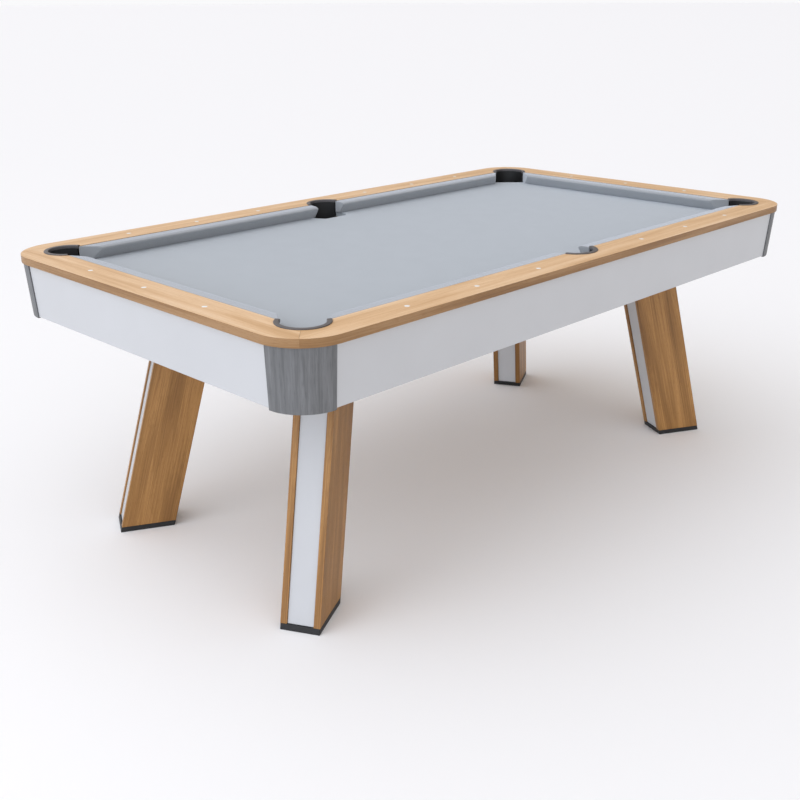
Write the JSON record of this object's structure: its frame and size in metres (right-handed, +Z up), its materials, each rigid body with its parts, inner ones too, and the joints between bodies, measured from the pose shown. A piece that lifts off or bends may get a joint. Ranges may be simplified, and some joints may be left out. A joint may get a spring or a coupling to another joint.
{
  "type": "pool table",
  "caption": "Home pool table with oak-edged rails, grey cloth, moulded drop pockets, a white canted cabinet with grey corner pieces, and raked box legs on levelling feet.",
  "frame": {"origin": "on the floor, below the middle of the table", "axes": "+X along the long side, +Y across the table away from the front long side, +Z up"},
  "size_m": [2.13, 1.195, 0.801],
  "materials": {
    "oak_laminate": "satin light oak laminate",
    "oak_board": "satin oak laminate",
    "white_laminate": "satin white laminate",
    "grey_laminate": "matt grey driftwood laminate",
    "cushion_cloth": "napped grey cloth",
    "bed_cloth": "napped grey cloth",
    "black_moulding": "moulded black",
    "foot_plastic": "moulded black",
    "fibreboard": "raw fibreboard",
    "zinc_steel": "zinc plated"
  },
  "bodies": {
    "table": {"apron_back": "white_laminate", "apron_front": "white_laminate", "apron_left": "white_laminate", "apron_right": "white_laminate", "bed_board": "fibreboard", "bed_cloth": "bed_cloth", "corner_piece_back_left": "grey_laminate", "corner_piece_back_right": "grey_laminate", "corner_piece_front_left": "grey_laminate", "corner_piece_front_right": "grey_laminate", "cross_beam_inner_left": "fibreboard", "cross_beam_inner_right": "fibreboard", "cross_beam_outer_left": "fibreboard", "cross_beam_outer_right": "fibreboard", "cushion_back_left": "cushion_cloth", "cushion_back_right": "cushion_cloth", "cushion_front_left": "cushion_cloth", "cushion_front_right": "cushion_cloth", "cushion_left": "cushion_cloth", "cushion_right": "cushion_cloth", "foot_cap_back_left": "foot_plastic", "foot_cap_back_right": "foot_plastic", "foot_cap_front_left": "foot_plastic", "foot_cap_front_right": "foot_plastic", "leg_back_left_core": "white_laminate", "leg_back_left_inner_board": "oak_board", "leg_back_left_outer_board": "oak_board", "leg_back_right_core": "white_laminate", "leg_back_right_inner_board": "oak_board", "leg_back_right_outer_board": "oak_board", "leg_block_back_left": "fibreboard", "leg_block_back_right": "fibreboard", "leg_block_front_left": "fibreboard", "leg_block_front_right": "fibreboard", "leg_front_left_core": "white_laminate", "leg_front_left_inner_board": "oak_board", "leg_front_left_outer_board": "oak_board", "leg_front_right_core": "white_laminate", "leg_front_right_inner_board": "oak_board", "leg_front_right_outer_board": "oak_board", "pocket_back_left": "black_moulding", "pocket_back_middle": "black_moulding", "pocket_back_right": "black_moulding", "pocket_front_left": "black_moulding", "pocket_front_middle": "black_moulding", "pocket_front_right": "black_moulding", "rail_back": "oak_laminate", "rail_front": "oak_laminate", "rail_left": "oak_laminate", "rail_right": "oak_laminate"},
    "foot_front_left": {"foot_pad_front_left": "foot_plastic"},
    "stud_front_left": {"foot_stud_front_left": "zinc_steel"},
    "foot_front_right": {"foot_pad_front_right": "foot_plastic"},
    "stud_front_right": {"foot_stud_front_right": "zinc_steel"},
    "foot_back_left": {"foot_pad_back_left": "foot_plastic"},
    "stud_back_left": {"foot_stud_back_left": "zinc_steel"},
    "foot_back_right": {"foot_pad_back_right": "foot_plastic"},
    "stud_back_right": {"foot_stud_back_right": "zinc_steel"}
  },
  "joints": [
    {"name": "foot_slide_front_left", "type": "slide", "parent": "table", "child": "foot_front_left", "axis": [0, 0, -1], "range_m": [0, 0.015]},
    {"name": "stud_turn_front_left", "type": "hinge", "parent": "foot_front_left", "child": "stud_front_left", "pos_m": [-0.849, -0.36, 0.03], "axis": [0, 0, -1], "range_deg": [0, 3600]},
    {"name": "foot_slide_front_right", "type": "slide", "parent": "table", "child": "foot_front_right", "axis": [0, 0, -1], "range_m": [0, 0.015]},
    {"name": "stud_turn_front_right", "type": "hinge", "parent": "foot_front_right", "child": "stud_front_right", "pos_m": [0.849, -0.36, 0.03], "axis": [0, 0, -1], "range_deg": [0, 3600]},
    {"name": "foot_slide_back_left", "type": "slide", "parent": "table", "child": "foot_back_left", "axis": [0, 0, -1], "range_m": [0, 0.015]},
    {"name": "stud_turn_back_left", "type": "hinge", "parent": "foot_back_left", "child": "stud_back_left", "pos_m": [-0.849, 0.36, 0.03], "axis": [0, 0, -1], "range_deg": [0, 3600]},
    {"name": "foot_slide_back_right", "type": "slide", "parent": "table", "child": "foot_back_right", "axis": [0, 0, -1], "range_m": [0, 0.015]},
    {"name": "stud_turn_back_right", "type": "hinge", "parent": "foot_back_right", "child": "stud_back_right", "pos_m": [0.849, 0.36, 0.03], "axis": [0, 0, -1], "range_deg": [0, 3600]}
  ],
  "couplings": [
    {"joint": "stud_turn_front_left", "follows": "foot_slide_front_left", "rad_per_m": 4188.8},
    {"joint": "stud_turn_front_right", "follows": "foot_slide_front_right", "rad_per_m": 4188.8},
    {"joint": "stud_turn_back_left", "follows": "foot_slide_back_left", "rad_per_m": 4188.8},
    {"joint": "stud_turn_back_right", "follows": "foot_slide_back_right", "rad_per_m": 4188.8}
  ]
}
